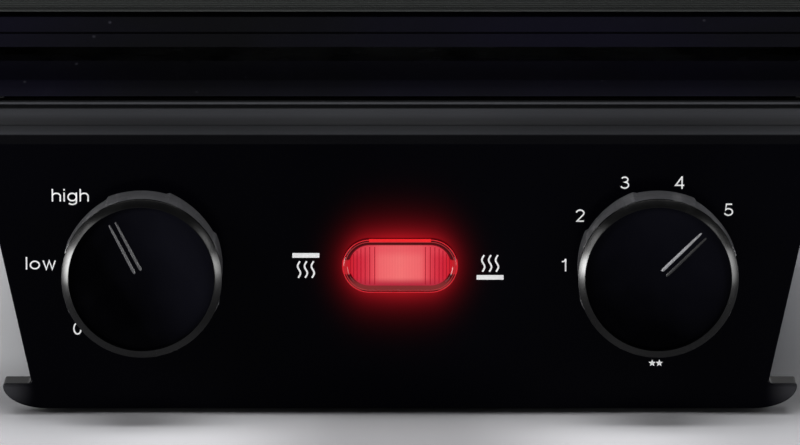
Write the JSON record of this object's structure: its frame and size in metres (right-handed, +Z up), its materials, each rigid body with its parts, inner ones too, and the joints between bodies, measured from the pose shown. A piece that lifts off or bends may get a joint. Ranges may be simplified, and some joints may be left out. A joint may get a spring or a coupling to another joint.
{
  "type": "electric fish roaster",
  "caption": "Black electric fish roaster: a tapered control pedestal with two knobs and a lit lamp carries a chamber with a glazed net drawer, drip tray and lift-off smoke filter.",
  "frame": {"origin": "centre of the bounding box at the level of the feet, on the worktop", "axes": "+Z up, -Y towards the user at the control panel, +X to the user's right"},
  "size_m": [0.316, 0.344, 0.2374],
  "materials": {
    "gloss_black": "high-gloss black moulding",
    "satin_black": "satin black moulding",
    "deck_grey": "satin anthracite paint",
    "casing_black": "fine-textured baked black paint",
    "enamel": "black enamel with fine pale flecks",
    "dark_steel": "dark brushed steel",
    "galvanised": "aluminised steel sheet",
    "heater_sheath": "heat-tinted sheathed tube",
    "net_chrome": "chromed wire",
    "glass": "clear tempered glass",
    "lamp_red": "lit red prismatic lens",
    "ceramic": "matt white steatite",
    "rubber": "matt black rubber",
    "brass": "tinned brass",
    "pale_plastic": "pale moulded plastic",
    "lead_sleeve": "soft dark lead insulation",
    "glass_braid": "heat-proof braided lead sleeve",
    "copper": "bare copper capillary"
  },
  "bodies": {
    "root": {"front_fascia": "gloss_black", "rear_fascia": "satin_black", "pedestal_housing": "satin_black", "bottom_cover": "galvanised", "rubber_feet": "rubber", "deck": "deck_grey", "chamber_floor": "galvanised", "chamber_wall_left": "galvanised", "chamber_wall_right": "galvanised", "chamber_back": "galvanised", "upper_reflector": "galvanised", "outer_casing": "casing_black", "front_frame": "casing_black", "rear_panel": "casing_black", "rear_spacers": "satin_black", "upper_heater": "heater_sheath", "lower_heater": "heater_sheath", "heater_beads": "ceramic", "upper_heater_hangers": "galvanised", "lower_heater_supports": "galvanised", "drawer_rails": "galvanised", "tray_runners": "galvanised", "selector_switch": "satin_black", "thermostat_body": "satin_black", "lamp_lens": "lamp_red", "lamp_holder": "pale_plastic", "appliance_inlet": "satin_black", "inlet_pins": "brass", "terminal_block": "pale_plastic", "thermal_fuse": "brass", "thermostat_bulb": "galvanised", "bulb_clips": "galvanised", "vent_collar": "galvanised", "casing_screws": "dark_steel", "wiring_cover": "galvanised", "pedestal_screws": "dark_steel", "supply_leads": "lead_sleeve", "control_leads": "lead_sleeve", "heater_leads": "glass_braid", "capillary_tube": "copper"},
    "selector": {"selector_knob": "satin_black", "selector_shaft": "galvanised"},
    "thermostat": {"thermostat_knob": "satin_black", "thermostat_shaft": "galvanised"},
    "net_drawer": {"door_frame": "gloss_black", "door_rail": "enamel", "door_strip": "dark_steel", "door_glass": "glass", "door_back_sheet": "casing_black", "door_screws": "dark_steel", "handle_bar": "satin_black", "handle_posts": "satin_black", "carriage_frame": "galvanised"},
    "net": {"roasting_net": "net_chrome"},
    "drip_tray": {"tray_pan": "enamel", "tray_front": "enamel"},
    "smoke_filter": {"filter_cover": "casing_black", "filter_mesh": "galvanised"}
  },
  "joints": [
    {"name": "selector_turn", "type": "hinge", "parent": "root", "child": "selector", "pos_m": [-0.082, -0.148, 0.0481], "axis": [0, -1, 0], "range_deg": [0, 100]},
    {"name": "thermostat_turn", "type": "hinge", "parent": "root", "child": "thermostat", "pos_m": [0.082, -0.148, 0.0481], "axis": [0, -1, 0], "range_deg": [0, 226]},
    {"name": "net_drawer_slide", "type": "slide", "parent": "root", "child": "net_drawer", "axis": [0, -1, 0], "range_m": [0, 0.2]},
    {"name": "net_lift", "type": "slide", "parent": "net_drawer", "child": "net", "axis": [0, 0, 1], "range_m": [0, 0.04]},
    {"name": "drip_tray_slide", "type": "slide", "parent": "root", "child": "drip_tray", "axis": [0, -1, 0], "range_m": [0, 0.21]},
    {"name": "smoke_filter_lift", "type": "slide", "parent": "root", "child": "smoke_filter", "axis": [0, 0, 1], "range_m": [0, 0.05]}
  ]
}
